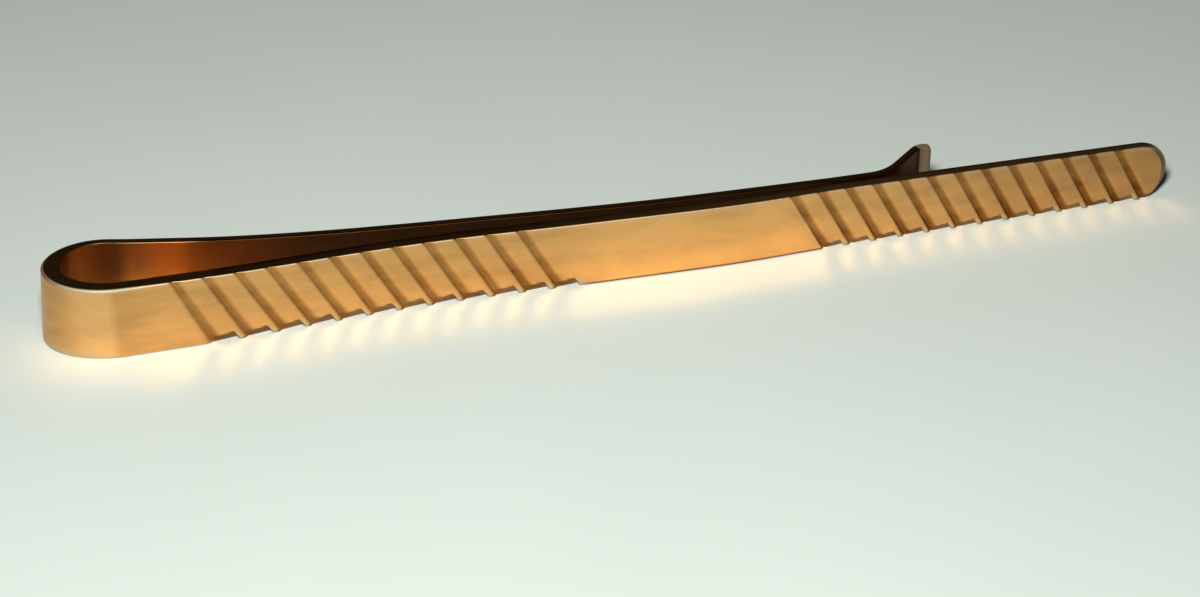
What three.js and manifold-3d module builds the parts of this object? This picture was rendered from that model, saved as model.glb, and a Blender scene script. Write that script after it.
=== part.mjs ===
// Tie slide: one gold-toned strip folded into a bow, with a ridged front bar and a sprung back leaf.
// Millimetres, +Z up. The slide stands on its long edge. X runs along the bar from the bow to the tip,
// the ridged face looks along -Y, and the origin is the middle of the footprint.
import * as THREE from "three";
import * as BufferGeometryUtils from "three/addons/utils/BufferGeometryUtils.js";
import Module from "manifold-3d";

// Whole object: from the bow to the tip, and from the plain panel to the crest of the bow
const LENGTH = 60.3;
const DEPTH = 5;
const BOW_X = -LENGTH / 2;
const TIP_X = LENGTH / 2;
const FRONT_Y = -DEPTH / 2;
const REAR_Y = DEPTH / 2;

// Width of the strip, which is its height here: full at the bow, narrowing evenly to the tip
const WIDTH_AT_BOW = 4.15;
const WIDTH_AT_TIP = 3.35;

// Thickness of the strip: a bar that thins to its tip, faster where cloth slides in past the lip, the
// stoutest metal at the turn, and a thin leaf
const BAR_THICKNESS = 0.72;
const LEAD_IN_THICKNESS = 0.6;
const TIP_THICKNESS = 0.52;
const BOW_THICKNESS = 0.88;
const LEAF_THICKNESS = 0.45;

// Bar: it is not quite straight, but lies back at the first group of cuts and rises at the plain panel
const LIE_BACK = { depth: 0.36, middle: -10.85, reach: 12.5 };
const PANEL_RISE = { depth: 0.15, middle: 5.65, reach: 7 };
const BAR_Y = FRONT_Y + PANEL_RISE.depth;
const PANEL_START_X = -2.35;
const PANEL_END_X = 8.35;
const LEAD_IN_X = 17.95;

// Bow: its outer face is two elliptical quarters that meet at the foremost point of the turn. The turn
// leans, so that its lower edge stands further out than its upper edge.
const BOW_LEAN = 0.3;
const TURN_X = BOW_X + BOW_LEAN;
const TURN_Y = BAR_Y + 2.725;
const BOW_FRONT_REACH = 3.7;
const BOW_REAR_REACH = 2.8;
const BAR_START_X = TURN_X + BOW_FRONT_REACH;
const CREST_X = TURN_X + BOW_REAR_REACH;
const LEAF_EXIT_ANGLE = THREE.MathUtils.degToRad(74);

// Leaf: knots of its outer face after the bow, as X and the distance behind the line of the bar's face.
// It eases in until it lies along the back of the bar.
const LEAF_KNOTS = [
  [-24.35, 4.305],
  [-20.35, 3.505],
  [-15.85, 2.885],
  [-11.35, 2.455],
  [-6.85, 2.105],
  [-1.85, 1.735],
  [3.15, 1.47],
];
const CONTACT_X = 11.15;
const CONTACT_GAP = 0.22;
const CONTACT_Y = barBackY(CONTACT_X) + CONTACT_GAP + LEAF_THICKNESS;

// Lip: a bend away from the bar, a straight flare, a bend back past the line of the bar and a rounded end
const LIP_BEND_X = 13.45;
const LIP_BEND_RADIUS = 2.4;
const LIP_ANGLE = THREE.MathUtils.degToRad(40);
const LIP_FLARE = 1.85;
const LIP_EASE_RADIUS = 1;
const LIP_END_ANGLE = THREE.MathUtils.degToRad(-20);

// Tip of the bar, seen from the front: a full upper corner and a smaller lower one
const TIP_UPPER_RADIUS = 1.8;
const TIP_LOWER_RADIUS = 1.5;

// Bevel of the front face at the very end of the tip
const END_BEVEL_WIDTH = 0.55;
const END_BEVEL_DEPTH = 0.38;

// Slanted cuts in the front face: where the first of each group meets the top edge, their spacing and
// count, and the notch that each cut opens into at the bottom edge. A cut grows shallower towards the top.
// The cuts lean alike, except the first ones, which lean less where the bar comes out of the bow.
const CUT_GROUPS = [
  { first: -23.67, pitch: 1.62, count: 12, notchHeight: 0.58, notchDepth: 0.3 },
  { first: 8.75, pitch: 1.517, count: 13, notchHeight: 0.47, notchDepth: 0.24 },
];
const CUT_DEPTH = 0.17;
const CUT_DEPTH_AT_TOP = 0.06;
const CUT_LEAN = 0.537;
const FIRST_CUT_LEAN = 0.46;
const FULL_LEAN_X = -20.43;

// Shares of the spacing taken by a cut's steep side, its gentle side and its notch, and the share of a
// notch's depth that is still missing at the end next to its cut
const STEEP_SHARE = 0.14;
const GENTLE_SHARE = 0.4;
const NOTCH_SHARE = 0.72;
const NOTCH_RAMP = 0.4;

// How far a cutting shape runs past the surface that it cuts
const CUT_OVERSHOOT = 1.3;
const CUT_MARGIN = 1;

// How finely the curves are divided
const RIDGED_BAR_STEPS = 12;
const PANEL_STEPS = 12;
const RIDGED_TIP_STEPS = 2;
const BOW_STEPS = 12;
const STEPS_PER_KNOT = 4;
const BEND_STEPS = 8;
const CORNER_STEPS = 8;
const MERGE_TOLERANCE = 1e-4;

// The gold where it is polished, and the duller gold inside the bow and on the leaf
const POLISHED = { color: 0xd2a061, roughness: 0.25, metalness: 1 };
const DULLED = { color: 0xa8702c, roughness: 0.3, metalness: 1 };

function widthAt(x) {
  return THREE.MathUtils.mapLinear(x, TURN_X, TIP_X, WIDTH_AT_BOW, WIDTH_AT_TIP);
}

// How far the lower edge stands out: nothing along the bar and the leaf, the full lean at the turn
function leanAt(x) {
  return BOW_LEAN * THREE.MathUtils.smoothstep(BAR_START_X - x, 0, BOW_FRONT_REACH);
}

// A smooth wave of the bar: nothing at its ends, its full depth in the middle
function wave(x, { depth, middle, reach }) {
  const share = THREE.MathUtils.clamp((x - middle) / reach, -1, 1);
  return depth * (0.5 + 0.5 * Math.cos(Math.PI * share));
}

function barFrontY(x) {
  return BAR_Y + wave(x, LIE_BACK) - wave(x, PANEL_RISE);
}

function barBackY(x) {
  const thickness = x < LEAD_IN_X
    ? THREE.MathUtils.mapLinear(x, BAR_START_X, LEAD_IN_X, BAR_THICKNESS, LEAD_IN_THICKNESS)
    : THREE.MathUtils.mapLinear(x, LEAD_IN_X, TIP_X, LEAD_IN_THICKNESS, TIP_THICKNESS);
  return barFrontY(x) + thickness;
}

// A station of the strip is a point of its outer face and the point across from it on the inner face.
function stations(curve, steps, startThickness, endThickness) {
  const list = [];
  for (let i = 0; i <= steps; i += 1) {
    const t = i / steps;
    const outer = curve.getPoint(t);
    const tangent = curve.getTangent(t);
    const across = new THREE.Vector2(tangent.y, -tangent.x);
    const share = THREE.MathUtils.smoothstep(t, 0, 1);
    const thickness = THREE.MathUtils.lerp(startThickness, endThickness, share);
    list.push({ outer, inner: outer.clone().addScaledVector(across, thickness) });
  }
  return list;
}

function barStation(x) {
  return { outer: new THREE.Vector2(x, barFrontY(x)), inner: new THREE.Vector2(x, barBackY(x)) };
}

function barRun(fromX, toX, steps) {
  return Array.from({ length: steps + 1 }, (_, i) =>
    barStation(THREE.MathUtils.lerp(fromX, toX, i / steps)));
}

// Bar, in three stretches: the first group of cuts, the plain panel, and the second group of cuts, where
// the waves end and the bar runs straight on past the lip to its tip
const ridgedBar = barRun(BAR_START_X, PANEL_START_X, RIDGED_BAR_STEPS);
const plainPanel = barRun(PANEL_START_X, PANEL_END_X, PANEL_STEPS);
const ridgedTip = [
  ...barRun(PANEL_END_X, PANEL_RISE.middle + PANEL_RISE.reach, RIDGED_TIP_STEPS),
  barStation(LEAD_IN_X),
  barStation(TIP_X),
];

// Front quarter of the bow, from the bar round to the foremost point of the turn
const bowFront = stations(
  new THREE.EllipseCurve(
    BAR_START_X, TURN_Y, BOW_FRONT_REACH, TURN_Y - BAR_Y, 1.5 * Math.PI, Math.PI, true),
  BOW_STEPS, BAR_THICKNESS, BOW_THICKNESS);

// Rear of the bow, over its crest until it slopes in as the leaf does
const bowRearCurve = new THREE.EllipseCurve(
  CREST_X, TURN_Y, BOW_REAR_REACH, REAR_Y - TURN_Y, Math.PI, LEAF_EXIT_ANGLE, true);
const bowRear = stations(bowRearCurve, BOW_STEPS, BOW_THICKNESS, LEAF_THICKNESS);

// Back leaf, one smooth curve from the end of the bow through the knots to the contact
const leafPoints = [
  bowRearCurve.getPoint(1),
  ...LEAF_KNOTS.map(([x, behind]) => new THREE.Vector2(x, BAR_Y + behind)),
  new THREE.Vector2(CONTACT_X, CONTACT_Y),
];
const leaf = stations(
  new THREE.SplineCurve(leafPoints),
  (leafPoints.length - 1) * STEPS_PER_KNOT, LEAF_THICKNESS, LEAF_THICKNESS);

function leafRun(fromKnot, toKnot) {
  return leaf.slice(fromKnot * STEPS_PER_KNOT, toKnot * STEPS_PER_KNOT + 1);
}

// Lip: the bend turns about a centre behind the leaf, the flare goes straight on, and the end bends back
// about a centre on the bar's side until it points towards the bar again
const bend = stations(
  new THREE.EllipseCurve(
    LIP_BEND_X, CONTACT_Y + LIP_BEND_RADIUS, LIP_BEND_RADIUS, LIP_BEND_RADIUS,
    1.5 * Math.PI, 1.5 * Math.PI + LIP_ANGLE, false),
  BEND_STEPS, LEAF_THICKNESS, LEAF_THICKNESS);
const flareEnd = bend[BEND_STEPS].outer.clone();
flareEnd.addScaledVector(new THREE.Vector2(Math.cos(LIP_ANGLE), Math.sin(LIP_ANGLE)), LIP_FLARE);
const easeCentre = flareEnd.clone();
easeCentre.addScaledVector(new THREE.Vector2(Math.sin(LIP_ANGLE), -Math.cos(LIP_ANGLE)), LIP_EASE_RADIUS);
const ease = stations(
  new THREE.EllipseCurve(
    easeCentre.x, easeCentre.y, LIP_EASE_RADIUS, LIP_EASE_RADIUS,
    0.5 * Math.PI + LIP_ANGLE, 0.5 * Math.PI + LIP_END_ANGLE, true),
  BEND_STEPS, LEAF_THICKNESS, LEAF_THICKNESS);

function prism(shape, depth) {
  return new THREE.ExtrudeGeometry(shape, { depth, bevelEnabled: false, curveSegments: CORNER_STEPS });
}

// A stretch of the strip: its plan stands on the ground, leans out at the turn, and is cut off along the
// narrowing top edge.
function stripGeometry(run, hasRoundEnd) {
  const plan = new THREE.Shape();
  plan.setFromPoints(run.map((station) => station.outer));
  if (hasRoundEnd) {
    const last = run[run.length - 1];
    const middle = last.outer.clone().lerp(last.inner, 0.5);
    const start = last.outer.clone().sub(middle).angle();
    plan.absarc(middle.x, middle.y, LEAF_THICKNESS / 2, start, start - Math.PI, true);
  }
  for (const station of [...run].reverse()) {
    plan.lineTo(station.inner.x, station.inner.y);
  }
  const geometry = prism(plan, 1);
  const position = geometry.getAttribute("position");
  for (let i = 0; i < position.count; i += 1) {
    const x = position.getX(i);
    const share = position.getZ(i);
    position.setX(i, x - leanAt(x) * (1 - share));
    position.setZ(i, share * widthAt(x));
  }
  geometry.computeVertexNormals();
  return geometry;
}

const wasm = await Module();
wasm.setup();

function toSolid(geometry) {
  const bare = geometry.clone();
  bare.deleteAttribute("normal");
  bare.deleteAttribute("uv");
  const merged = BufferGeometryUtils.mergeVertices(bare, MERGE_TOLERANCE);
  return new wasm.Manifold(new wasm.Mesh({
    numProp: 3,
    vertProperties: new Float32Array(merged.getAttribute("position").array),
    triVerts: new Uint32Array(merged.getIndex().array),
  }));
}

function toGeometry(solid) {
  const mesh = solid.getMesh();
  const indexed = new THREE.BufferGeometry();
  indexed.setAttribute("position", new THREE.BufferAttribute(mesh.vertProperties, mesh.numProp));
  indexed.setIndex(new THREE.BufferAttribute(mesh.triVerts, 1));
  const faceted = indexed.toNonIndexed();
  faceted.computeVertexNormals();
  return faceted;
}

// Front view of the bar: open towards the bow, with two round corners at the tip
function tipOutline() {
  const lowerX = TIP_X - TIP_LOWER_RADIUS;
  const upperX = TIP_X - TIP_UPPER_RADIUS;
  const upperZ = widthAt(upperX);
  const outline = new THREE.Shape();
  outline.moveTo(BAR_START_X - CUT_MARGIN, -CUT_MARGIN);
  outline.lineTo(lowerX, -CUT_MARGIN);
  outline.absarc(lowerX, TIP_LOWER_RADIUS, TIP_LOWER_RADIUS, -Math.PI / 2, 0, false);
  outline.absarc(upperX, upperZ - TIP_UPPER_RADIUS, TIP_UPPER_RADIUS, 0, Math.PI / 2, false);
  outline.lineTo(upperX, WIDTH_AT_BOW + CUT_MARGIN);
  outline.lineTo(BAR_START_X - CUT_MARGIN, WIDTH_AT_BOW + CUT_MARGIN);
  outline.closePath();
  return prism(outline, DEPTH).rotateX(Math.PI / 2).translate(0, REAR_Y - CUT_MARGIN, 0);
}

function cutLean(topX) {
  const lean = THREE.MathUtils.mapLinear(topX, CUT_GROUPS[0].first, FULL_LEAN_X, FIRST_CUT_LEAN, CUT_LEAN);
  return Math.min(lean, CUT_LEAN);
}

// The slant of a cut: it meets the top edge at topX, moves towards the tip as it goes down, and follows
// the bar's face, which is at y = 0 before the slant, while it rises out of it towards the top
function slantFrom(topX) {
  const width = widthAt(topX);
  const lean = cutLean(topX);
  const footX = topX + lean * width;
  const footY = barFrontY(footX);
  const topY = barFrontY(topX) + CUT_DEPTH_AT_TOP - CUT_DEPTH;
  return new THREE.Matrix4().set(
    1, 0, -lean, footX,
    0, 1, (topY - footY) / width, footY,
    0, 0, 1, 0,
    0, 0, 0, 1);
}

// One slanted cut: a lopsided wedge, steep towards the bow and gentle towards the tip
function cutWedge(pitch) {
  const mouth = CUT_DEPTH - CUT_DEPTH * CUT_OVERSHOOT;
  const section = new THREE.Shape();
  section.moveTo(0, CUT_DEPTH);
  section.lineTo(-STEEP_SHARE * pitch * CUT_OVERSHOOT, mouth);
  section.lineTo(GENTLE_SHARE * pitch * CUT_OVERSHOOT, mouth);
  section.closePath();
  return prism(section, WIDTH_AT_BOW + 2 * CUT_MARGIN).translate(0, 0, -CUT_MARGIN);
}

// The notch at the foot of a cut: a bevel of the bottom edge that deepens until it stops at the next ridge
function footNotch(pitch, height, depth) {
  const tallHeight = height * CUT_OVERSHOOT;
  const tallDepth = depth * CUT_OVERSHOOT;
  const section = new THREE.Shape();
  section.moveTo(depth - tallDepth, tallHeight);
  section.lineTo(depth - tallDepth, height - tallHeight);
  section.lineTo(tallDepth, height - tallHeight);
  section.closePath();
  const length = NOTCH_SHARE * pitch;
  const rise = depth * NOTCH_RAMP;
  const alongBar = new THREE.Matrix4().makeBasis(
    new THREE.Vector3(0, 1, 0), new THREE.Vector3(0, 0, 1), new THREE.Vector3(1, rise / length, 0));
  return prism(section, length).applyMatrix4(alongBar).translate(0, -rise, 0);
}

// A stretch of the bar with a group of cuts in its front face
function ridged(solid, { first, pitch, count, notchHeight, notchDepth }) {
  let cut = solid;
  for (let i = 0; i < count; i += 1) {
    const slant = slantFrom(first + pitch * i);
    cut = cut.subtract(toSolid(cutWedge(pitch).applyMatrix4(slant)));
    cut = cut.subtract(toSolid(footNotch(pitch, notchHeight, notchDepth).applyMatrix4(slant)));
  }
  return toGeometry(cut);
}

// The bevel at the end of the tip, a slanted plane that takes off the front face's last stretch
function endBevel() {
  const overX = END_BEVEL_WIDTH * (CUT_OVERSHOOT - 1);
  const overY = END_BEVEL_DEPTH * (CUT_OVERSHOOT - 1);
  const faceY = barFrontY(TIP_X);
  const section = new THREE.Shape();
  section.moveTo(TIP_X - END_BEVEL_WIDTH - overX, faceY - overY);
  section.lineTo(TIP_X + overX, faceY - overY);
  section.lineTo(TIP_X + overX, faceY + END_BEVEL_DEPTH + overY);
  section.closePath();
  return prism(section, WIDTH_AT_BOW + 2 * CUT_MARGIN).translate(0, 0, -CUT_MARGIN);
}

const roundTip = toSolid(stripGeometry(ridgedTip, false))
  .intersect(toSolid(tipOutline()))
  .subtract(toSolid(endBevel()));

const tieSlide = new THREE.Group();

function addPiece(name, geometry, finish) {
  const mesh = new THREE.Mesh(geometry, new THREE.MeshStandardMaterial(finish));
  mesh.name = name;
  tieSlide.add(mesh);
}

addPiece("ridged_bar", ridged(toSolid(stripGeometry(ridgedBar, false)), CUT_GROUPS[0]), POLISHED);
addPiece("plain_panel", stripGeometry(plainPanel, false), POLISHED);
addPiece("ridged_tip", ridged(roundTip, CUT_GROUPS[1]), POLISHED);
addPiece("bow_front", stripGeometry(bowFront, false), POLISHED);
addPiece("bow_rear", stripGeometry([...bowRear, ...leafRun(0, 1).slice(1)], false), DULLED);
addPiece("leaf_root", stripGeometry(leafRun(1, 3), false), DULLED);
addPiece("leaf_middle", stripGeometry(leafRun(3, 5), false), DULLED);
addPiece("leaf_fore", stripGeometry(leafRun(5, 7), false), DULLED);
addPiece("leaf_contact", stripGeometry([...leafRun(7, 8), bend[0]], false), DULLED);
addPiece("flared_lip", stripGeometry([...bend, ...ease], true), DULLED);

export default tieSlide;
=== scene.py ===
"""Looks of a gold-plated tie slide: one strip folded into a bow, with slanted cuts along its front bar.

The strip is one grid of points. A column of the grid is a closed section of the strip, and the columns run
from the tip of the bar, along the bar, round the bow and down the leaf to the lip. The skin is cut into
pieces along the leaf.
"""

import bpy
import numpy as np
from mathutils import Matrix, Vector


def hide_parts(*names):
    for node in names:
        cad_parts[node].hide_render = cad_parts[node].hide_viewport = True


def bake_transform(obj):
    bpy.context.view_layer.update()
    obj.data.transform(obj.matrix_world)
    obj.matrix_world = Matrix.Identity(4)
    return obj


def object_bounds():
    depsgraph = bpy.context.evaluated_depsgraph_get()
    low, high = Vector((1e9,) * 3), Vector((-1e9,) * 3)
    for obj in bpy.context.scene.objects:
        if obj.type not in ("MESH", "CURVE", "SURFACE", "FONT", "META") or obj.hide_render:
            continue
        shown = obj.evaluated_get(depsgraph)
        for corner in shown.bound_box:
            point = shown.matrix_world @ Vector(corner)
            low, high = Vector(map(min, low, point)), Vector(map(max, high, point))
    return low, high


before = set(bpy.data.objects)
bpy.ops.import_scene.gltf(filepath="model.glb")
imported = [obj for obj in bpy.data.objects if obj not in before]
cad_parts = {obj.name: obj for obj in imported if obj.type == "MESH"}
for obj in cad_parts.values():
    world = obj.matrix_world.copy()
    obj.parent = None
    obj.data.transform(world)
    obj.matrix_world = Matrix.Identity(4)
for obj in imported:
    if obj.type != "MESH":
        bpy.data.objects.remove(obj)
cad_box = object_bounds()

# Shapes are worked out in millimetres and put into metres when a mesh is made
MM = 0.001

# Whole strip: its ends, its front and rear, and its width, which is its height as it stands
BOW_X, FRONT_Y = cad_box[0][0] / MM, cad_box[0][1] / MM
TIP_X, REAR_Y = cad_box[1][0] / MM, cad_box[1][1] / MM
WIDTH_AT_BOW = 4.15
WIDTH_AT_TIP = 3.35

# Thickness along the strip
BAR_THICKNESS = 0.72
LEAD_IN_THICKNESS = 0.6
TIP_THICKNESS = 0.52
BOW_THICKNESS = 0.88
LEAF_THICKNESS = 0.45

# Bar: two slow waves of its face, as depth, middle and reach along X
LIE_BACK = (0.36, -10.85, 12.5)
PANEL_RISE = (0.15, 5.65, 7.0)
BAR_Y = FRONT_Y + PANEL_RISE[0]
LEAD_IN_X = 17.95

# Bow: two elliptical quarters that meet at the foremost point of the turn, which leans out at its foot
BOW_LEAN = 0.3
TURN_X = BOW_X + BOW_LEAN
TURN_Y = BAR_Y + 2.725
BOW_FRONT_REACH = 3.7
BOW_REAR_REACH = 2.8
BAR_START_X = TURN_X + BOW_FRONT_REACH
CREST_X = TURN_X + BOW_REAR_REACH
LEAF_EXIT_ANGLE = np.radians(74)

# Leaf: knots of its outer face, as X and the distance behind the line of the bar's face
LEAF_KNOTS = [
    (-24.35, 4.305),
    (-20.35, 3.505),
    (-15.85, 2.885),
    (-11.35, 2.455),
    (-6.85, 2.105),
    (-1.85, 1.735),
    (3.15, 1.47),
]
CONTACT_X = 11.15
CONTACT_GAP = 0.22

# Lip: a bend outwards, a straight flare, a bend back, and an end that is rounded both ways
LIP_BEND_X = 13.45
LIP_BEND_RADIUS = 2.4
LIP_ANGLE = np.radians(40)
LIP_FLARE = 1.85
LIP_EASE_RADIUS = 1.0
LIP_END_ANGLE = np.radians(-20)
LIP_CORNER_RADIUS = 0.35
# The half circle across the lip's end is drawn up to this angle, so that its last section keeps some width
LIP_END_TURN = np.radians(84)

# Tip of the bar, seen from the front, and the bevel at its very end
TIP_UPPER_RADIUS = 1.8
TIP_LOWER_RADIUS = 1.5
END_BEVEL_WIDTH = 0.55
END_BEVEL_DEPTH = 0.38

# Slanted cuts: first cut at the top edge, spacing, count, and the height and depth of the notch at its foot
LEFT_CUTS = (-23.67, 1.62, 12, 0.58, 0.3)
RIGHT_CUTS = (8.75, 1.517, 13, 0.47, 0.24)
CUT_DEPTH = 0.17
CUT_DEPTH_AT_TOP = 0.06
# Lean of the columns, as X and run for each unit of height: the cuts lean fully from the third one on
CUT_LEAN = [(BAR_START_X, 0.0), (LEFT_CUTS[0], 0.46), (LEFT_CUTS[0] + 2 * LEFT_CUTS[1], 0.537)]

# Shares of a spacing that the steep side, the gentle side and the notch of a cut take
STEEP_SHARE = 0.14
GENTLE_SHARE = 0.4
NOTCH_SHARE = 0.72
# Share of its height that a notch lacks where it begins, and the power that hollows its bevel
NOTCH_RAMP = 0.4
NOTCH_HOLLOW = 1.15
# How much further than the depth of a cut its grime and painted shade reach up the sides
GRIME_AND_SHADE_REACH = 1.4
# Keeps a column at the very start of a cut from falling into the cut before it
SAME_PLACE = 1e-6

# Rounded edges of the strip: along the top and bottom of the outer face, and along the inner face. The
# top edge is rounded more on the bow than on the bar
TOP_ROUND = [(-26.5, 0.13), (-23.5, 0.06)]
BOTTOM_ROUND = 0.06
INNER_ROUND = 0.008
# Least width of a narrow edge, and the most of the strip's thickness that a rounded edge may take
LEAST_EDGE = 0.05
MOST_ROUND = 0.42

# How finely the grid is divided: shares of a cut's spacing, close together where the face turns, shares
# across the narrow edges, rows across the outer and inner faces, and columns along each stretch
CUT_SAMPLES = np.array([
    -0.14, -0.12, -0.09, -0.06, -0.03, -0.01, 0, 0.02, 0.05, 0.1, 0.15, 0.2, 0.26, 0.32, 0.37,
    0.4, 0.48, 0.56, 0.64, 0.7, 0.72, 0.735, 0.78, 0.83,
])
EDGE_SHARES = np.array([0.04, 0.5, 0.985])
EDGE_ROW = 0.002
OUTER_ROWS = 44
INNER_ROWS = 18
BEFORE_CUTS = 16
PANEL_COLUMNS = 36
TIP_COLUMNS = 40
TIP_START_X = TIP_X - 2
BOW_COLUMNS = 48
LEAF_COLUMNS_PER_KNOT = 10
LIP_COLUMNS = 20
OUTER_COUNT = OUTER_ROWS + 1
# How often the foot of a slanted column is moved along the outline until it lies on it
FOOT_PASSES = 30


def smoothstep(share):
    """0 up to 0, 1 from 1 on, and in between three times the square less twice the cube."""
    clamped = np.clip(share, 0, 1)
    return clamped * clamped * (3 - 2 * clamped)


def width_at(x):
    """Width of the strip, which narrows evenly from the turn of the bow to the tip."""
    return np.interp(x, [TURN_X, TIP_X], [WIDTH_AT_BOW, WIDTH_AT_TIP])


def wave(x, depth, middle, reach):
    """Depth times half a cosine wave, nothing at its ends and the full depth in the middle."""
    return depth * (0.5 + 0.5 * np.cos(np.pi * np.clip((x - middle) / reach, -1, 1)))


def bar_front_y(x):
    """Y of the bar's front face: a straight line that one wave sets back and the other brings forward."""
    return BAR_Y + wave(x, *LIE_BACK) - wave(x, *PANEL_RISE)


def bar_thickness(x):
    """Thickness of the bar, which thins evenly to a place past the lip and faster from there to the tip."""
    return np.interp(
        x, [BAR_START_X, LEAD_IN_X, TIP_X], [BAR_THICKNESS, LEAD_IN_THICKNESS, TIP_THICKNESS])


def top_round(x):
    """Radius of the outer face's top edge, with an even change between the bow and the bar."""
    return np.interp(x, *np.transpose(TOP_ROUND))


def lean_at(x):
    """How far the lower edge stands out: nothing along the bar and leaf, the full lean at the turn."""
    return BOW_LEAN * smoothstep((BAR_START_X - x) / BOW_FRONT_REACH)


def set_back(distance, radius):
    """How far a face falls back at a distance from its edge: a quarter circle of that radius."""
    inwards = np.clip(radius - distance, 0, radius)
    return radius - np.sqrt(np.maximum(radius**2 - inwards**2, 0))


def rows(count):
    """Shares from 0 to 1 that lie closer together towards both ends, as cosines do."""
    return 0.5 - 0.5 * np.cos(np.pi * np.arange(count + 1) / count)


def inner_rows():
    """Shares from 0 to 1 across the inner face, with a row close to each end that keeps its edges crisp."""
    return np.concatenate([[0], EDGE_ROW + (1 - 2 * EDGE_ROW) * rows(INNER_ROWS - 2), [1]])


def cut_columns(first, pitch, count):
    """Top-edge X of the columns that draw a group of cuts, the samples of one spacing repeated."""
    return (first + pitch * (np.arange(count)[:, None] + CUT_SAMPLES)).ravel()


def cut_away(column_x, height, first, pitch, count, notch_height, notch_depth):
    """Depth of the cut and of the notch, the share of grimy deposit and painted shade in the cut, and the
    place within its spacing as a share.

    The cut is a rounded wedge, steep towards the bow and gentle towards the tip, that is shallower at the
    top. The notch is a bevel of the bottom edge, rounded where it begins, that deepens until it stops
    short of the next ridge.
    """
    spacing = (column_x - first) / pitch
    number = np.clip(np.floor(spacing + STEEP_SHARE + SAME_PLACE), 0, count - 1)
    share = spacing - number
    side = np.where(share < 0, 1 + share / STEEP_SHARE, 1 - share / GENTLE_SHARE)
    rise = (CUT_DEPTH - CUT_DEPTH_AT_TOP) * height / width_at(column_x)
    wedge = (CUT_DEPTH - rise) * smoothstep(side)
    grime_and_shade = smoothstep(GRIME_AND_SHADE_REACH * side)
    full = 1 - NOTCH_RAMP * (1 - share / NOTCH_SHARE)
    in_notch = (share > 0) & (share < NOTCH_SHARE)
    notch = notch_depth * np.maximum(full - height / notch_height, 0) ** NOTCH_HOLLOW * in_notch
    return wedge, notch, grime_and_shade, share


def tip_low_z(x):
    """Height of the bar's lower outline: flat, then the quarter circle of the tip's lower corner."""
    past = np.clip(x - (TIP_X - TIP_LOWER_RADIUS), 0, TIP_LOWER_RADIUS)
    return TIP_LOWER_RADIUS - np.sqrt(TIP_LOWER_RADIUS**2 - past**2)


def bar_columns():
    """Upper and lower end of each column of the bar as X and Z, from the bow to the tip.

    Along the cuts a column is a slanted line. Past TIP_START_X its two ends run round the outline of the
    tip at an even pace until they meet in the short upright end.
    """
    left = cut_columns(*LEFT_CUTS[:3])
    right = cut_columns(*RIGHT_CUTS[:3])
    right = right[right < TIP_START_X]
    top_x = np.concatenate([
        np.linspace(BAR_START_X, left[0], BEFORE_CUTS, endpoint=False),
        left,
        np.linspace(left[-1], right[0], PANEL_COLUMNS)[1:-1],
        right,
        [TIP_START_X],
    ])
    top_z = width_at(top_x)
    lean = np.interp(top_x, *np.transpose(CUT_LEAN))
    foot_x = top_x + lean * top_z
    for _ in range(FOOT_PASSES):
        foot_x = top_x + lean * (top_z - tip_low_z(foot_x))
    upper = np.stack([top_x, top_z], axis=-1)
    lower = np.stack([foot_x, tip_low_z(foot_x)], axis=-1)

    share = np.linspace(0, 1, TIP_COLUMNS + 1)[1:]
    upper_x = TIP_X - TIP_UPPER_RADIUS
    turn = 0.5 * np.pi * (1 - share)
    upper_tip = np.stack([
        upper_x + TIP_UPPER_RADIUS * np.cos(turn),
        width_at(upper_x) - TIP_UPPER_RADIUS + TIP_UPPER_RADIUS * np.sin(turn),
    ], axis=-1)
    lower_x = TIP_X - TIP_LOWER_RADIUS
    turn = np.arcsin((foot_x[-1] - lower_x) / TIP_LOWER_RADIUS) * (1 - share) + 0.5 * np.pi * share
    lower_tip = np.stack([
        lower_x + TIP_LOWER_RADIUS * np.sin(turn),
        TIP_LOWER_RADIUS - TIP_LOWER_RADIUS * np.cos(turn),
    ], axis=-1)
    return np.concatenate([upper, upper_tip]), np.concatenate([lower, lower_tip])


def outline_distance(x, z):
    """Distance of points of the bar's front face from the outline above them and from the one below."""
    upper_x = TIP_X - TIP_UPPER_RADIUS
    upper_z = width_at(upper_x) - TIP_UPPER_RADIUS
    corner = TIP_UPPER_RADIUS - np.hypot(x - upper_x, z - upper_z)
    to_top = np.where(x > upper_x, np.where(z > upper_z, corner, TIP_X - x), width_at(x) - z)
    lower_x = TIP_X - TIP_LOWER_RADIUS
    corner = TIP_LOWER_RADIUS - np.hypot(x - lower_x, z - TIP_LOWER_RADIUS)
    to_bottom = np.where(x > lower_x, np.where(z < TIP_LOWER_RADIUS, corner, TIP_X - x), z)
    return to_top, to_bottom


# Tarnish and painted shade along the outer face, as X and share: clean on the bow and on the plain panel,
# and darkened with painted shade where the bow meets the bar and towards the tip
OUTER_TARNISH_AND_SHADE = np.array([
    (-30.1, 0.34), (-29.2, 0.2), (-28.3, 0.0), (-27.0, 0.0), (-26.5, 0.28), (-25.8, 0.3), (-25.0, 0.22),
    (-23.0, 0.23), (-3.5, 0.22), (-1.0, 0.06), (7.5, 0.06), (10.0, 0.14), (15.0, 0.2), (20.0, 0.32),
    (28.5, 0.44),
])

# Pale, rough painted highlight along the top edge of the outer face, as X and share, strongest on the bow
TOP_RIM_SHEEN = np.array([(-30.0, 0.6), (-28.8, 1.0), (-26.0, 1.0), (-24.0, 0.7), (30.0, 0.7)])
TOP_RIM_SHEEN_HEIGHT = 0.4

# Wear along the bottom of the bow, which fades out where the bar begins
FOOT_WEAR = 0.85
FOOT_WEAR_HEIGHT = 1.1
FOOT_WEAR_END_X = BAR_START_X + 1
FOOT_WEAR_FADE = 3.0
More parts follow.
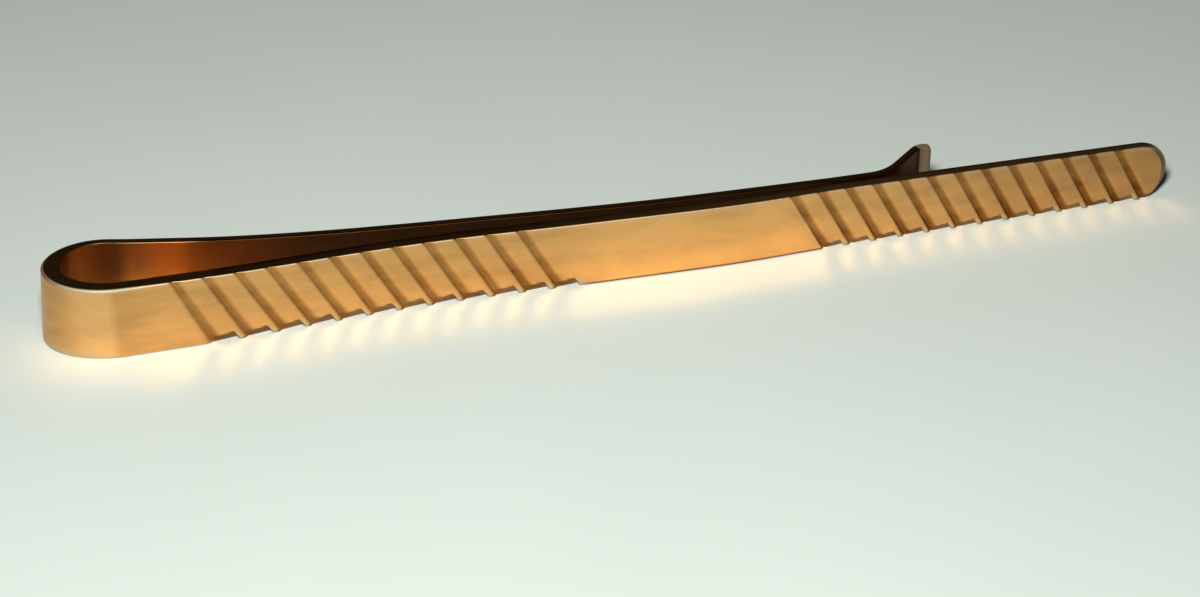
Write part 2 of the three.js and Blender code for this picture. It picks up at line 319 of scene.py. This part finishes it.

# Light wear of the whole outer face, as X and share, least on the plain panel, with a painted sheen in an
# upright band of the bow
FACE_WEAR_AND_SHEEN = np.array([
    (-30.0, 0.15), (-29.0, 0.2), (-28.2, 0.38), (-27.1, 0.38), (-26.5, 0.2), (-21.0, 0.18),
    (-3.0, 0.14), (8.0, 0.14), (12.0, 0.24),
])

# A thin line along the very foot of the bar: rubbed pale up to the first notch, and painted dark as contact
# shadow from there on
FOOT_LINE_HEIGHT = 0.16
FOOT_LINE_FADE = 0.1
FOOT_LINE_WEAR = 0.85
FOOT_LINE_TURNS_X = -22.4
FOOT_LINE_TURN = 0.8

# Grime and painted shade at the foot of a cut, as X and share, how much of it is missing at the top,
# and painted shade in a notch
CUT_GRIME_AND_SHADE = np.array([(-24.0, 0.74), (8.0, 0.8), (28.0, 0.95)])
CUT_GRIME_AND_SHADE_FADE = 0.2
NOTCH_SHADE = 0.85
# Depth from which a notch and the end bevel have their full painted shade
NOTCH_SHADE_DEPTH = 0.015
BEVEL_SHADE_DEPTH = 0.1
# Pale painted highlight at the foot of a ridge, next to a notch, up to a height over which it fades
RIDGE_SHEEN = 0.9
RIDGE_SHEEN_HEIGHT = 0.7
RIDGE_SHEEN_FADE = 0.4


def top_rim_sheen(x, to_top):
    """Painted highlight of the outer face at a distance from its top edge, fading downwards."""
    return np.interp(x, *TOP_RIM_SHEEN.T) * smoothstep(1 - to_top / TOP_RIM_SHEEN_HEIGHT)


def foot_wear(x, z):
    """Wear of the outer face near its bottom edge, fading upwards and along the bar."""
    along = smoothstep((FOOT_WEAR_END_X - x) / FOOT_WEAR_FADE)
    return FOOT_WEAR * smoothstep(1 - z / FOOT_WEAR_HEIGHT) * along


def bar_faces():
    """Front and back face of the bar as grids of points, with the darkening and the paling of the front.

    The front is darkened by tarnished metal and painted shade along the face, by grimy deposit and painted
    shade in the cuts, and by painted shade in the notches, on the end bevel and in a thin line along the
    foot past the bow.
    It is paled by painted highlights on the ridges next to the notches and along the top edge, by worn metal
    along the foot of the bow and the foot up to the first notch, and lightly on the whole face outside the
    cuts, where the bow also has a painted sheen.
    """
    upper, lower = bar_columns()
    share = rows(OUTER_ROWS)[None, :, None]
    front = lower[:, None, :] * (1 - share) + upper[:, None, :] * share
    x, z = front[..., 0], front[..., 1]
    column_x = np.broadcast_to(upper[:, :1], x.shape)
    left_wedge, left_notch, left_grime_and_shade, left_share = cut_away(column_x, z, *LEFT_CUTS)
    right_wedge, right_notch, right_grime_and_shade, right_share = cut_away(column_x, z, *RIGHT_CUTS)
    notch = left_notch + right_notch
    grime_and_shade = left_grime_and_shade + right_grime_and_shade
    cut = np.maximum(left_wedge + right_wedge, notch)
    to_top, to_bottom = outline_distance(x, z)
    edge = np.maximum(set_back(to_top, top_round(x)), set_back(to_bottom, BOTTOM_ROUND))
    into_tip = smoothstep((x - TIP_X + TIP_LOWER_RADIUS) / TIP_LOWER_RADIUS)
    bevel = END_BEVEL_DEPTH * np.maximum(into_tip - np.minimum(to_top, to_bottom) / END_BEVEL_WIDTH, 0)
    depth = np.minimum(np.maximum(np.hypot(cut, edge), bevel), bar_thickness(x) - LEAST_EDGE)
    front = np.stack([x, bar_front_y(x) + depth, z], axis=-1)

    # Darkening: tarnish and painted shade along the face, grime and painted shade in the cuts, and painted
    # shade in the notches, on the end bevel and in the foot line past the bow
    tarnish_and_shade = np.interp(x, *OUTER_TARNISH_AND_SHADE.T)
    up = z / width_at(x)
    tarnish_and_shade = np.maximum(tarnish_and_shade, np.interp(x, *CUT_GRIME_AND_SHADE.T) * (1 - CUT_GRIME_AND_SHADE_FADE * up) * grime_and_shade)
    tarnish_and_shade = np.maximum(tarnish_and_shade, NOTCH_SHADE * np.clip(notch / NOTCH_SHADE_DEPTH, 0, 1))
    tarnish_and_shade = np.maximum(tarnish_and_shade, np.clip(bevel / BEVEL_SHADE_DEPTH, 0, 1))
    foot_line = smoothstep((FOOT_LINE_HEIGHT - to_bottom) / FOOT_LINE_FADE)
    past_turn = smoothstep((x - FOOT_LINE_TURNS_X) / FOOT_LINE_TURN)
    tarnish_and_shade = np.maximum(tarnish_and_shade, NOTCH_SHADE * foot_line * past_turn)
    # Paling: painted highlights on the ridge feet and along the top edge, wear at the foot, and light wear
    # with a painted sheen on the bow
    in_left = (left_share > NOTCH_SHARE) & (left_share < 1)
    in_right = (right_share > NOTCH_SHARE) & (right_share < 1)
    low = smoothstep((RIDGE_SHEEN_HEIGHT - z) / RIDGE_SHEEN_FADE)
    wear_and_sheen = (in_left | in_right) * low * RIDGE_SHEEN
    wear_and_sheen = np.maximum(wear_and_sheen, top_rim_sheen(x, to_top) * (1 - grime_and_shade))
    wear_and_sheen = np.maximum(wear_and_sheen, foot_wear(x, z))
    wear_and_sheen = np.maximum(wear_and_sheen, FOOT_LINE_WEAR * foot_line * (1 - past_turn))
    wear_and_sheen = np.maximum(wear_and_sheen, np.interp(x, *FACE_WEAR_AND_SHEEN.T) * (1 - grime_and_shade))

    share = inner_rows()[None, :, None]
    back = upper[:, None, :] * (1 - share) + lower[:, None, :] * share
    x, z = back[..., 0], back[..., 1]
    to_edge = np.minimum(z - lower[:, None, 1], upper[:, None, 1] - z)
    back_y = bar_front_y(x) + bar_thickness(x) - np.minimum(set_back(to_edge, INNER_ROUND), LEAST_EDGE / 2)
    return front, np.stack([x, back_y, z], axis=-1), tarnish_and_shade, wear_and_sheen


def ellipse(centre, reach, start, end, count):
    """Points and unit tangents of an elliptical arc, evenly spaced in angle."""
    angle = np.linspace(start, end, count + 1)
    point = np.stack([centre[0] + reach[0] * np.cos(angle), centre[1] + reach[1] * np.sin(angle)], axis=-1)
    along = np.stack([-reach[0] * np.sin(angle), reach[1] * np.cos(angle)], axis=-1) * np.sign(end - start)
    return point, along / np.linalg.norm(along, axis=-1, keepdims=True)


def spline(knots, count):
    """Points and unit tangents of a curve through the knots, each stretch a cubic.

    The slope at a knot is half the step between its two neighbours, with the end knots doubled.
    """
    padded = np.concatenate([knots[:1], knots, knots[-1:]])
    before, start, end, after = (padded[i:len(padded) - 3 + i, None, :] for i in range(4))
    t = (np.arange(count) / count)[None, :, None]
    leaving = (end - before) / 2
    arriving = (after - start) / 2
    cubic = 2 * start - 2 * end + leaving + arriving
    square = -3 * start + 3 * end - 2 * leaving - arriving
    point = (cubic * t**3 + square * t**2 + leaving * t + start).reshape(-1, 2)
    along = (3 * cubic * t**2 + 2 * square * t + leaving).reshape(-1, 2)
    point = np.concatenate([point, knots[-1:]])
    along = np.concatenate([along, arriving[-1:, 0]])
    return point, along / np.linalg.norm(along, axis=-1, keepdims=True)


def across(point, tangent, thickness):
    """Outer and inner points of the strip, the inner ones to the right of the way it runs."""
    side = np.stack([tangent[:, 1], -tangent[:, 0]], axis=-1)
    return point, point + side * np.broadcast_to(thickness, len(point))[:, None]


def bow_line():
    """Outer and inner line of the bow in plan, from the bar round to where the leaf begins."""
    share = smoothstep(np.linspace(0, 1, BOW_COLUMNS + 1))
    front = across(
        *ellipse((BAR_START_X, TURN_Y), (BOW_FRONT_REACH, TURN_Y - BAR_Y), 1.5 * np.pi, np.pi, BOW_COLUMNS),
        BAR_THICKNESS + (BOW_THICKNESS - BAR_THICKNESS) * share)
    rear = across(
        *ellipse((CREST_X, TURN_Y), (BOW_REAR_REACH, REAR_Y - TURN_Y), np.pi, LEAF_EXIT_ANGLE, BOW_COLUMNS),
        BOW_THICKNESS + (LEAF_THICKNESS - BOW_THICKNESS) * share)
    return [np.concatenate([front[side][1:], rear[side][1:]]) for side in (0, 1)]


def leaf_line(bow_end):
    """Outer and inner line of the leaf and the lip in plan.

    The lip is an arc outwards, a straight flare and an arc back. The end closes as half a circle across the
    thickness: past the last arc the strip narrows as a cosine while it goes on as a sine.
    """
    contact_y = bar_front_y(CONTACT_X) + bar_thickness(CONTACT_X) + CONTACT_GAP + LEAF_THICKNESS
    knots = np.array([bow_end, *[(x, BAR_Y + behind) for x, behind in LEAF_KNOTS], (CONTACT_X, contact_y)])
    leaf = across(*spline(knots, LEAF_COLUMNS_PER_KNOT), LEAF_THICKNESS)
    level = np.linspace(CONTACT_X, LIP_BEND_X, LEAF_COLUMNS_PER_KNOT)[1:-1]
    level = across(
        np.stack([level, np.full_like(level, contact_y)], axis=-1), np.tile([1.0, 0.0], (len(level), 1)),
        LEAF_THICKNESS)
    bend = across(
        *ellipse((LIP_BEND_X, contact_y + LIP_BEND_RADIUS), (LIP_BEND_RADIUS, LIP_BEND_RADIUS),
                 1.5 * np.pi, 1.5 * np.pi + LIP_ANGLE, LIP_COLUMNS), LEAF_THICKNESS)
    outwards = np.array([np.cos(LIP_ANGLE), np.sin(LIP_ANGLE)])
    flare_end = bend[0][-1] + LIP_FLARE * outwards
    centre = flare_end + LIP_EASE_RADIUS * np.array([outwards[1], -outwards[0]])
    ease = across(
        *ellipse(centre, (LIP_EASE_RADIUS, LIP_EASE_RADIUS),
                 0.5 * np.pi + LIP_ANGLE, 0.5 * np.pi + LIP_END_ANGLE, LIP_COLUMNS), LEAF_THICKNESS)
    onwards = np.array([np.cos(LIP_END_ANGLE), np.sin(LIP_END_ANGLE)])
    turn = np.linspace(0, LIP_END_TURN, LIP_COLUMNS // 2)[1:, None]
    half = LEAF_THICKNESS / 2
    middle = (ease[0][-1] + ease[1][-1]) / 2 + half * np.sin(turn) * onwards
    to_outer = half * np.cos(turn) * np.array([-onwards[1], onwards[0]])
    flare_share = np.linspace(0, 1, LIP_COLUMNS // 2)[1:-1, None]
    flare = [bend[side][-1] * (1 - flare_share) + ease[side][0] * flare_share for side in (0, 1)]
    end = [middle + to_outer, middle - to_outer]
    return [
        np.concatenate([leaf[side][1:], level[side], bend[side], flare[side], ease[side], end[side]])
        for side in (0, 1)
    ]


def run_length(line):
    """Distance along a line of points from its first point."""
    return np.concatenate([[0], np.cumsum(np.linalg.norm(np.diff(line, axis=0), axis=-1))])


def strip_faces(outer, inner, corner_radius=0.0):
    """Outer and inner face of a plain stretch: each plan point drawn up to the strip's width.

    With a corner radius the last stretch draws in at the top and bottom as two quarter circles.
    """
    towards = inner - outer
    thickness = np.linalg.norm(towards, axis=-1, keepdims=True)
    towards = (towards / thickness)[:, None, :]
    most = MOST_ROUND * thickness
    length = run_length((outer + inner) / 2)
    drawn_in = set_back(length[-1] - length, corner_radius)[:, None] if corner_radius else 0.0
    faces = []
    for line, share, way, radii in (
            (outer, rows(OUTER_ROWS), towards, (BOTTOM_ROUND, top_round(outer[:, :1]))),
            (inner, inner_rows()[::-1], -towards, (INNER_ROUND, INNER_ROUND))):
        width = width_at(line[:, :1])
        z = drawn_in + (width - 2 * drawn_in) * share
        depth = np.maximum(set_back(z - drawn_in, radii[0]), set_back(width - drawn_in - z, radii[1]))
        plan = line[:, None, :] + way * np.minimum(depth, most)[..., None]
        plan[..., 0] -= lean_at(line[:, :1]) * (1 - z / width)
        faces.append(np.concatenate([plan, z[..., None]], axis=-1))
    return faces


def sections(outer_face, inner_face):
    """Closed sections: up the outer face, over the top edge, down the inner face and back underneath."""
    share = EDGE_SHARES[None, :, None]
    top = outer_face[:, -1:] * (1 - share) + inner_face[:, :1] * share
    bottom = outer_face[:, :1] * (1 - share) + inner_face[:, -1:] * share
    return np.concatenate([outer_face, top, inner_face, bottom[:, ::-1]], axis=1)


def normals_of(grid):
    """Normals of a grid of closed sections: at each point the sum of the faces around it by area."""
    beside = np.roll(grid, -1, axis=1)
    face = np.cross(beside[1:] - grid[:-1], grid[1:] - beside[:-1])
    pair = face + np.roll(face, 1, axis=1)
    total = np.zeros_like(grid)
    total[:-1] += pair
    total[1:] += pair
    return total / np.linalg.norm(total, axis=-1, keepdims=True)


# Painted light and shade along the inner face, and its wear, as X and share: painted shade at the inner
# turn, left bright where light is painted inside the bow, highest wear in that lit patch, and painted shade
# in the narrow gap further on and inside the lip
INNER_LIGHT_AND_SHADE = np.array([
    (-29.1, 1.0), (-28.6, 0.95), (-27.8, 0.6), (-25.9, 0.6), (-25.3, 0.0), (-23.0, 0.0),
    (-22.0, 0.4), (-19.0, 0.45), (-8.0, 0.75), (10.0, 0.8), (14.0, 1.0),
])
INNER_WEAR = np.array([
    (-29.0, 0.05), (-26.0, 0.2), (-25.4, 0.28), (-23.6, 0.28), (-22.6, 0.2), (10.0, 0.2), (14.0, 0.0)])

# Tarnish and painted shade along the back of the bar past the bow: painted shade in the narrow gap, and less
# tarnish towards the tip, which the tie wipes clean
BACK_TARNISH_AND_SHADE = np.array([(-19.0, 0.45), (-8.0, 0.75), (10.0, 0.75), (16.0, 0.4), (20.0, 0.3)])

# Tarnish of the narrow edges and of the leaf's outer face, and how far behind the turn the bow takes that on
EDGE_TARNISH = 0.6
LEAF_OUTER_TARNISH = 0.35
BEHIND_FADE = 2.0

# Wear along the narrow edges of the bar, as X and share: the tie rubs them towards the tip
BAR_EDGE_WEAR = np.array([(-10.0, 0.0), (8.0, 0.25)])

# Past the bow the inner face is painted dark next to the top edge, painted shade that hides a highlight
# there
DARK_LINE_START_X = -23.0
DARK_LINE_FADE = 2.0

# Worn end of the lip
LIP_WEAR = 0.77
LIP_WORN_LENGTH = 1.2
LIP_WORN_FADE = 0.15


def whole_strip():
    """All sections from the tip to the lip, with their darkening by tarnished metal and painted shade, their
    paling by worn metal and painted highlights, and the place along and across.
    """
    bar_front, bar_back, bar_tarnish_and_shade, bar_wear_and_sheen = bar_faces()
    bow = bow_line()
    leaf = leaf_line(bow[0][-1])
    bow_faces = strip_faces(*bow)
    leaf_faces = strip_faces(*leaf, corner_radius=LIP_CORNER_RADIUS)
    grid = np.concatenate([
        sections(bar_front[::-1], bar_back[::-1]), sections(*bow_faces), sections(*leaf_faces)])

    inner = slice(OUTER_COUNT + len(EDGE_SHARES), OUTER_COUNT + len(EDGE_SHARES) + INNER_ROWS + 1)
    bar_count = len(bar_front)
    leaf_start = bar_count + len(bow_faces[0])
    tarnish_and_shade = np.full(grid.shape[:2], EDGE_TARNISH)
    tarnish_and_shade[:bar_count, :OUTER_COUNT] = bar_tarnish_and_shade[::-1]
    bow_outer = grid[bar_count:leaf_start, :OUTER_COUNT]
    behind = smoothstep((bow_outer[..., 1] - TURN_Y) / BEHIND_FADE)
    in_front = np.interp(bow_outer[..., 0], *OUTER_TARNISH_AND_SHADE.T)
    tarnish_and_shade[bar_count:leaf_start, :OUTER_COUNT] = in_front * (1 - behind) + LEAF_OUTER_TARNISH * behind
    tarnish_and_shade[leaf_start:, :OUTER_COUNT] = LEAF_OUTER_TARNISH
    # The inner face carries painted shade and painted light, and so does the back of the bar in the narrow
    # gap
    tarnish_and_shade[:, inner] = np.interp(grid[:, inner, 0], *INNER_LIGHT_AND_SHADE.T)
    bar_back_x = grid[:bar_count, inner, 0]
    tarnish_and_shade[:bar_count, inner] = np.where(
        bar_back_x > BACK_TARNISH_AND_SHADE[0, 0], np.interp(bar_back_x, *BACK_TARNISH_AND_SHADE.T), tarnish_and_shade[:bar_count, inner])
    # Painted shade along the inner top edge past the bow
    inner_edge = slice(inner.start - 1, inner.start + 2)
    dark_line = smoothstep((grid[:, inner_edge, 0] - DARK_LINE_START_X) / DARK_LINE_FADE)
    tarnish_and_shade[:, inner_edge] = np.maximum(tarnish_and_shade[:, inner_edge], dark_line)

    wear_and_sheen = np.zeros(grid.shape[:2])
    wear_and_sheen[:bar_count] = np.interp(grid[:bar_count, :, 0], *BAR_EDGE_WEAR.T)
    wear_and_sheen[:bar_count, :OUTER_COUNT] = bar_wear_and_sheen[::-1]
    # The bow's top edge and its upright band carry painted highlights as well as wear
    bow_x, bow_z = bow_outer[..., 0], bow_outer[..., 2]
    rubbed_and_sheen = np.maximum(top_rim_sheen(bow_x, width_at(bow_x) - bow_z), foot_wear(bow_x, bow_z))
    rubbed_and_sheen = np.maximum(rubbed_and_sheen, np.interp(bow_x, *FACE_WEAR_AND_SHEEN.T))
    wear_and_sheen[bar_count:leaf_start, :OUTER_COUNT] = rubbed_and_sheen * (1 - behind)
    wear_and_sheen[:, inner] = np.interp(grid[:, inner, 0], *INNER_WEAR.T)
    along = run_length(grid[:, OUTER_ROWS // 2])
    worn_end = LIP_WEAR * smoothstep((along - along[-1] + LIP_WORN_LENGTH) / LIP_WORN_FADE)
    wear_and_sheen = np.maximum(wear_and_sheen, worn_end[:, None])

    # The inner side is set apart, so that its patches are not those of the outer side
    place = np.zeros_like(grid)
    place[..., 0] = along[:, None]
    place[..., 1] = grid[..., 2]
    place[:, OUTER_COUNT:, 2] = 2 * WIDTH_AT_BOW
    return grid, tarnish_and_shade, wear_and_sheen, place


def linear(hex_colour):
    """An sRGB hex colour as linear RGBA."""
    srgb = np.array([int(hex_colour[i:i + 2], 16) for i in (1, 3, 5)]) / 255
    rgb = np.where(srgb <= 0.04045, srgb / 12.92, ((srgb + 0.055) / 1.055) ** 2.4)
    return (*rgb.tolist(), 1.0)


def add(tree, kind, inputs=None, **settings):
    """Adds a node with its settings. An input is named or numbered, and is a value or a socket to link."""
    made = tree.nodes.new(kind)
    for name, value in settings.items():
        setattr(made, name, value)
    for name, value in (inputs or {}).items():
        if isinstance(value, bpy.types.NodeSocket):
            tree.links.new(value, made.inputs[name])
        else:
            made.inputs[name].default_value = value
    return made


# Sockets of a colour mix, which share their names with those of other kinds of mix
MIX_A, MIX_B, MIX_RESULT = 6, 7, 2


def new_material(name):
    """A material with no nodes yet, and its tree."""
    material = bpy.data.materials.new(name)
    material.use_nodes = True
    material.node_tree.nodes.clear()
    return material, material.node_tree


# Gold plate, in millimetres: size of a patch of tarnish, and length, spacing and height of the rolling lines
PATCH_LENGTH = 3.0
PATCH_HEIGHT = 1.0
PATCH_TARNISH = 0.2
ROLLING_LENGTH = 4.0
ROLLING_SPACING = 0.05
ROLLING_HEIGHT = 0.002

# Roughness of the polished plate, and what full tarnish and full wear add to it
POLISHED_ROUGHNESS = 0.2
TARNISHED_ROUGHNESS = 0.15
WORN_ROUGHNESS = 0.5


def gold_plate():
    """Gold plate over brass, rolled and polished: a warm mirror, brown and dull where it is tarnished and
    where shade is painted.

    Fine rolling lines run along the strip, soft tarnished patches vary the colour, grimy deposit and painted
    shade darken the cuts, and where the plate is worn thin, and where a highlight is painted, the metal is
    paler and rougher.
    """
    material, tree = new_material("gold_plate")
    place = add(tree, "ShaderNodeAttribute", attribute_name="strip_mm").outputs["Vector"]
    grime_and_shade = add(tree, "ShaderNodeAttribute", attribute_name="tarnish_and_shade").outputs["Fac"]
    wear_and_sheen = add(tree, "ShaderNodeAttribute", attribute_name="wear_and_sheen").outputs["Fac"]

    patch_place = add(tree, "ShaderNodeVectorMath", {
        0: place, 1: (1 / PATCH_LENGTH, 1 / PATCH_HEIGHT, 1.0)}, operation="MULTIPLY")
    patches = add(tree, "ShaderNodeTexNoise", {
        "Vector": patch_place.outputs[0], "Scale": 1.0, "Detail": 4.0, "Roughness": 0.55}).outputs["Fac"]
    patchy = add(tree, "ShaderNodeMapRange", {
        "Value": patches, "From Min": 0.4, "From Max": 0.75, "To Min": 0.0, "To Max": PATCH_TARNISH,
    }).outputs["Result"]
    dull = add(tree, "ShaderNodeMath", {0: grime_and_shade, 1: patchy}, operation="ADD", use_clamp=True).outputs[0]
    colour = add(tree, "ShaderNodeMix", {
        0: dull, MIX_A: linear("#f8bc74"), MIX_B: linear("#6e400f")}, data_type="RGBA").outputs[MIX_RESULT]
    pale = add(tree, "ShaderNodeMath", {0: wear_and_sheen, 1: 2.0}, operation="POWER").outputs[0]
    colour = add(tree, "ShaderNodeMix", {
        0: pale, MIX_A: colour, MIX_B: linear("#d5c9a8")}, data_type="RGBA").outputs[MIX_RESULT]

    line_place = add(tree, "ShaderNodeVectorMath", {
        0: place, 1: (1 / ROLLING_LENGTH, 1 / ROLLING_SPACING, 1.0)}, operation="MULTIPLY")
    lines = add(tree, "ShaderNodeTexNoise", {
        "Vector": line_place.outputs[0], "Scale": 1.0, "Detail": 2.0}).outputs["Fac"]
    bump = add(tree, "ShaderNodeBump", {"Height": lines, "Strength": 0.25, "Distance": ROLLING_HEIGHT * MM})
    rough = add(tree, "ShaderNodeMath", {
        0: dull, 1: TARNISHED_ROUGHNESS, 2: POLISHED_ROUGHNESS}, operation="MULTIPLY_ADD").outputs[0]
    rough = add(tree, "ShaderNodeMath", {
        0: wear_and_sheen, 1: WORN_ROUGHNESS, 2: rough}, operation="MULTIPLY_ADD").outputs[0]
    shader = add(tree, "ShaderNodeBsdfPrincipled", {
        "Base Color": colour, "Metallic": 1.0, "Roughness": rough, "Normal": bump.outputs["Normal"]})
    add(tree, "ShaderNodeOutputMaterial", {"Surface": shader.outputs["BSDF"]})
    return material


# Swells of the painted board in a metre, each about 17 mm across
BOARD_SWELLS = 60.0


def painted_board():
    """Matt painted board, pale grey-green, with a trace of unevenness."""
    material, tree = new_material("painted_board")
    place = add(tree, "ShaderNodeTexCoord").outputs["Object"]
    uneven = add(tree, "ShaderNodeTexNoise", {
        "Vector": place, "Scale": BOARD_SWELLS, "Detail": 3.0}).outputs["Fac"]
    colour = add(tree, "ShaderNodeMix", {
        0: uneven, MIX_A: linear("#d8e2d8"), MIX_B: linear("#e0e9df")}, data_type="RGBA").outputs[MIX_RESULT]
    shader = add(tree, "ShaderNodeBsdfPrincipled", {"Base Color": colour, "Roughness": 0.7})
    add(tree, "ShaderNodeOutputMaterial", {"Surface": shader.outputs["BSDF"]})
    return material


def skin(name, points, normals, attributes, material):
    """A closed piece of the strip's skin: its sections joined side to side, with a cap at each end.

    Its normals are those of the whole strip, so that no seam shows where it meets the next piece.
    """
    count, ring = points.shape[:2]
    index = np.arange(count * ring).reshape(count, ring)
    beside = np.roll(index, -1, axis=1)
    quads = np.stack([index[:-1], beside[:-1], beside[1:], index[1:]], axis=-1).reshape(-1, 4)
    faces = [index[0, ::-1].tolist(), index[-1].tolist(), *quads.tolist()]
    mesh = bpy.data.meshes.new(name)
    mesh.from_pydata((points.reshape(-1, 3) * MM).tolist(), [], faces)
    mesh.polygons.foreach_set("use_smooth", np.ones(len(faces), dtype=bool))
    for label, kind, field, values in attributes:
        mesh.attributes.new(label, kind, "POINT").data.foreach_set(field, values.astype(np.float32).ravel())
    mesh.materials.append(material)
    mesh.update()
    mesh.normals_split_custom_set_from_vertices(normals.reshape(-1, 3).tolist())
    piece = bpy.data.objects.new(name, mesh)
    bpy.context.scene.collection.objects.link(piece)
    return piece


# The skin is one piece from the tip to past the crest of the bow, and then one piece for each hinge of the
# leaf. A seam lies where the skin on both sides follows the same body. Each piece: name, X of its end, the
# two bodies, where along which axis it passes from one to the other, its material slot, the solids it covers
PIECES = [
    ("ridged_strip", -25.75, ("front", "bow"), ("y", -0.2, 1.4), "polished_gold",
     ("ridged_bar", "plain_panel", "ridged_tip", "bow_front", "bow_rear")),
    ("leaf_root_strip", -20.05, ("bow", "leaf_root"), ("x", -25.65, -21.35), "dulled_gold", ("leaf_root",)),
    ("leaf_middle_strip", -11.35, ("leaf_root", "leaf_middle"), ("x", -19.35, -12.35), "dulled_gold",
     ("leaf_middle",)),
    ("leaf_fore_strip", -1.85, ("leaf_middle", "leaf_fore"), ("x", -10.65, -3.05), "dulled_gold",
     ("leaf_fore",)),
    ("leaf_lip_strip", None, ("leaf_fore", "leaf_contact"), ("x", -0.85, 7.15), "dulled_gold",
     ("leaf_contact", "flared_lip")),
]

grid, tarnish_and_shade, wear_and_sheen, place = whole_strip()
normals = normals_of(grid)
gold = gold_plate()
outer_x = grid[:, OUTER_ROWS // 2, 0]
on_leaf = np.arange(len(outer_x)) > np.argmin(outer_x)
first = 0
for name, end_x, bodies, (axis, start, end), slot, nodes in PIECES:
    last = len(grid) - 1 if end_x is None else np.flatnonzero(on_leaf & (outer_x >= end_x))[0]
    run = slice(first, last + 1)
    piece = skin(name, grid[run], normals[run], [
        ("tarnish_and_shade", "FLOAT", "value", tarnish_and_shade[run]),
        ("wear_and_sheen", "FLOAT", "value", wear_and_sheen[run]),
        ("strip_mm", "FLOAT_VECTOR", "vector", place[run]),
    ], gold)
    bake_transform(piece)
    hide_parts(*nodes)
    first = last

# Table, a hair below the slide's lower edge
TABLE_HALF = 2.0
TABLE_Z = -0.01 * MM
table_mesh = bpy.data.meshes.new("table_top")
table_mesh.from_pydata(
    [(x * TABLE_HALF, y * TABLE_HALF, TABLE_Z) for x, y in ((-1, -1), (1, -1), (1, 1), (-1, 1))], [],
    [(0, 1, 2, 3)])
table_mesh.materials.append(painted_board())
table = bpy.data.objects.new("table_top", table_mesh)
bpy.context.scene.collection.objects.link(table)

# Light: one small soft box near the line of sight, as the glow in front of the bar and the hidden shadow
# show, and a dim room. The glow is light that the polished face throws on the table. So glossy light is
# not blurred, the limit on indirect light only holds down single sparks, and paths are guided.
LAMP_SIZE = 24 * MM
LAMP_POWER = 0.236
LAMP_PLACE = Vector((-35, -90, 112)) * MM
INDIRECT_LIMIT = 20.0
lamp = bpy.data.lights.new("soft_box", "AREA")
lamp.shape = "SQUARE"
lamp.size = LAMP_SIZE
lamp.energy = LAMP_POWER
soft_box = bpy.data.objects.new("soft_box", lamp)
soft_box.location = LAMP_PLACE
soft_box.rotation_euler = (-LAMP_PLACE).to_track_quat("-Z", "Y").to_euler()
bpy.context.scene.collection.objects.link(soft_box)
cycles = bpy.context.scene.cycles
cycles.blur_glossy = 0.0
cycles.sample_clamp_indirect = INDIRECT_LIMIT
cycles.use_guiding = True

world = bpy.data.worlds.new("dim_room")
world.use_nodes = True
world.node_tree.nodes["Background"].inputs["Color"].default_value = linear("#242622")
bpy.context.scene.world = world

# Camera: from the bow's side of the front, looking down at 35 degrees, placed to give the photograph's view
CAMERA_PLACE = Vector((-35.75, -128.3, 91.2)) * MM
CAMERA_AIM = Vector((-2.71, -6.39, 2.0)) * MM
SENSOR_WIDTH = 36.0
FOCAL_LENGTH = 91.81
NEAREST = 10 * MM
lens = bpy.data.cameras.new("camera")
lens.sensor_width = SENSOR_WIDTH
lens.lens = FOCAL_LENGTH
lens.clip_start = NEAREST
camera = bpy.data.objects.new("camera", lens)
camera.location = CAMERA_PLACE
camera.rotation_euler = (CAMERA_AIM - CAMERA_PLACE).to_track_quat("-Z", "Y").to_euler()
bpy.context.scene.collection.objects.link(camera)
bpy.context.scene.camera = camera
bpy.context.scene.view_settings.view_transform = "Standard"
